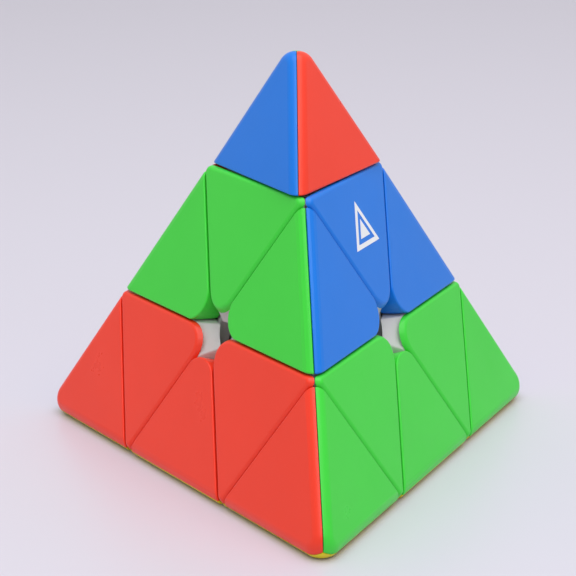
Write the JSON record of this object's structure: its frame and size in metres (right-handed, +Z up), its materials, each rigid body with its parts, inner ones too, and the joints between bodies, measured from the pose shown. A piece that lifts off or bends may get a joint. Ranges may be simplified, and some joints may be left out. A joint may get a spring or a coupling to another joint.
{
  "type": "pyramid twisty puzzle",
  "caption": "Pyramid-shaped twisty puzzle with coloured shell pieces that turn in layers and tips about the axes through its corners, on a sprung ball core.",
  "frame": {"origin": "centre of the ball core, where the four turning axes meet", "axes": "+Z up through the top corner; the front corner towards -Y; +X to the right seen from the front"},
  "size_m": [0.1, 0.0877, 0.0819],
  "materials": {
    "red_plastic": "red moulded plastic, coloured through, satin gloss",
    "green_plastic": "green moulded plastic, coloured through, satin gloss",
    "blue_plastic": "blue moulded plastic, coloured through, satin gloss",
    "yellow_plastic": "yellow moulded plastic, coloured through, satin gloss",
    "white_plastic": "white moulded plastic, satin gloss",
    "core_nylon": "moulded nylon, slightly waxy",
    "screw_steel": "zinc-plated steel",
    "spring_steel": "bright drawn wire"
  },
  "bodies": {
    "core": {"core": "core_nylon", "top_screw": "screw_steel", "front_screw": "screw_steel", "left_screw": "screw_steel", "right_screw": "screw_steel", "top_spring": "spring_steel", "front_spring": "spring_steel", "left_spring": "spring_steel", "right_spring": "spring_steel"},
    "top_axial": {"top_axial_body": "white_plastic", "top_axial_red_cap": "red_plastic", "top_axial_blue_cap": "blue_plastic", "top_axial_green_cap": "green_plastic"},
    "top_tip": {"top_tip_base": "white_plastic", "top_tip_green_shell": "green_plastic", "top_tip_red_shell": "red_plastic", "top_tip_blue_shell": "blue_plastic"},
    "front_axial": {"front_axial_body": "white_plastic", "front_axial_yellow_cap": "yellow_plastic", "front_axial_green_cap": "green_plastic", "front_axial_red_cap": "red_plastic"},
    "front_tip": {"front_tip_base": "white_plastic", "front_tip_yellow_shell": "yellow_plastic", "front_tip_green_shell": "green_plastic", "front_tip_red_shell": "red_plastic"},
    "left_axial": {"left_axial_body": "white_plastic", "left_axial_yellow_cap": "yellow_plastic", "left_axial_blue_cap": "blue_plastic", "left_axial_red_cap": "red_plastic"},
    "left_tip": {"left_tip_base": "white_plastic", "left_tip_yellow_shell": "yellow_plastic", "left_tip_blue_shell": "blue_plastic", "left_tip_red_shell": "red_plastic"},
    "right_axial": {"right_axial_body": "white_plastic", "right_axial_yellow_cap": "yellow_plastic", "right_axial_blue_cap": "blue_plastic", "right_axial_green_cap": "green_plastic"},
    "right_tip": {"right_tip_base": "white_plastic", "right_tip_yellow_shell": "yellow_plastic", "right_tip_blue_shell": "blue_plastic", "right_tip_green_shell": "green_plastic"},
    "top_front_edge": {"top_front_edge_foot": "white_plastic", "top_front_edge_blue_half": "blue_plastic", "top_front_edge_green_half": "green_plastic"},
    "top_left_edge": {"top_left_edge_foot": "white_plastic", "top_left_edge_red_half": "red_plastic", "top_left_edge_green_half": "green_plastic"},
    "top_right_edge": {"top_right_edge_foot": "white_plastic", "top_right_edge_red_half": "red_plastic", "top_right_edge_blue_half": "blue_plastic"},
    "front_left_edge": {"front_left_edge_foot": "white_plastic", "front_left_edge_yellow_half": "yellow_plastic", "front_left_edge_red_half": "red_plastic"},
    "front_right_edge": {"front_right_edge_foot": "white_plastic", "front_right_edge_yellow_half": "yellow_plastic", "front_right_edge_green_half": "green_plastic"},
    "left_right_edge": {"left_right_edge_foot": "white_plastic", "left_right_edge_yellow_half": "yellow_plastic", "left_right_edge_blue_half": "blue_plastic"}
  },
  "joints": [
    {"name": "top_layer_turn", "type": "hinge", "parent": "core", "child": "top_axial", "pos_m": [0, 0, 0], "axis": [0, 0, 1], "range_deg": [-120, 240]},
    {"name": "front_layer_turn", "type": "hinge", "parent": "core", "child": "front_axial", "pos_m": [0, 0, 0], "axis": [0, -0.9428, -0.3333], "range_deg": [-120, 240]},
    {"name": "left_layer_turn", "type": "hinge", "parent": "core", "child": "left_axial", "pos_m": [0, 0, 0], "axis": [-0.8165, 0.4714, -0.3333], "range_deg": [-120, 240]},
    {"name": "right_layer_turn", "type": "hinge", "parent": "core", "child": "right_axial", "pos_m": [0, 0, 0], "axis": [0.8165, 0.4714, -0.3333], "range_deg": [-120, 240]},
    {"name": "top_tip_turn", "type": "hinge", "parent": "top_axial", "child": "top_tip", "pos_m": [0, 0, 0], "axis": [0, 0, 1], "continuous": true},
    {"name": "front_tip_turn", "type": "hinge", "parent": "front_axial", "child": "front_tip", "pos_m": [0, 0, 0], "axis": [0, -0.9428, -0.3333], "continuous": true},
    {"name": "left_tip_turn", "type": "hinge", "parent": "left_axial", "child": "left_tip", "pos_m": [0, 0, 0], "axis": [-0.8165, 0.4714, -0.3333], "continuous": true},
    {"name": "right_tip_turn", "type": "hinge", "parent": "right_axial", "child": "right_tip", "pos_m": [0, 0, 0], "axis": [0.8165, 0.4714, -0.3333], "continuous": true},
    {"name": "top_left_edge_turn", "type": "hinge", "parent": "left_axial", "child": "top_left_edge", "pos_m": [0, 0, 0], "axis": [0, 0, 1], "range_deg": [-120, 240]},
    {"name": "top_front_edge_turn", "type": "hinge", "parent": "front_axial", "child": "top_front_edge", "pos_m": [0, 0, 0], "axis": [0, 0, 1], "range_deg": [-120, 240]},
    {"name": "top_right_edge_turn", "type": "hinge", "parent": "right_axial", "child": "top_right_edge", "pos_m": [0, 0, 0], "axis": [0, 0, 1], "range_deg": [-120, 240]},
    {"name": "front_left_edge_turn", "type": "hinge", "parent": "left_axial", "child": "front_left_edge", "pos_m": [0, 0, 0], "axis": [0, -0.9428, -0.3333], "range_deg": [-120, 240]},
    {"name": "front_right_edge_turn", "type": "hinge", "parent": "front_axial", "child": "front_right_edge", "pos_m": [0, 0, 0], "axis": [0.8165, 0.4714, -0.3333], "range_deg": [-120, 240]},
    {"name": "left_right_edge_turn", "type": "hinge", "parent": "right_axial", "child": "left_right_edge", "pos_m": [0, 0, 0], "axis": [-0.8165, 0.4714, -0.3333], "range_deg": [-120, 240]}
  ],
  "couplings": [
    {"joint": "top_left_edge_turn", "follows": "top_layer_turn", "ratio": 1},
    {"joint": "top_front_edge_turn", "follows": "top_layer_turn", "ratio": 1},
    {"joint": "top_right_edge_turn", "follows": "top_layer_turn", "ratio": 1},
    {"joint": "front_left_edge_turn", "follows": "front_layer_turn", "ratio": 1},
    {"joint": "front_right_edge_turn", "follows": "right_layer_turn", "ratio": 1},
    {"joint": "left_right_edge_turn", "follows": "left_layer_turn", "ratio": 1}
  ]
}
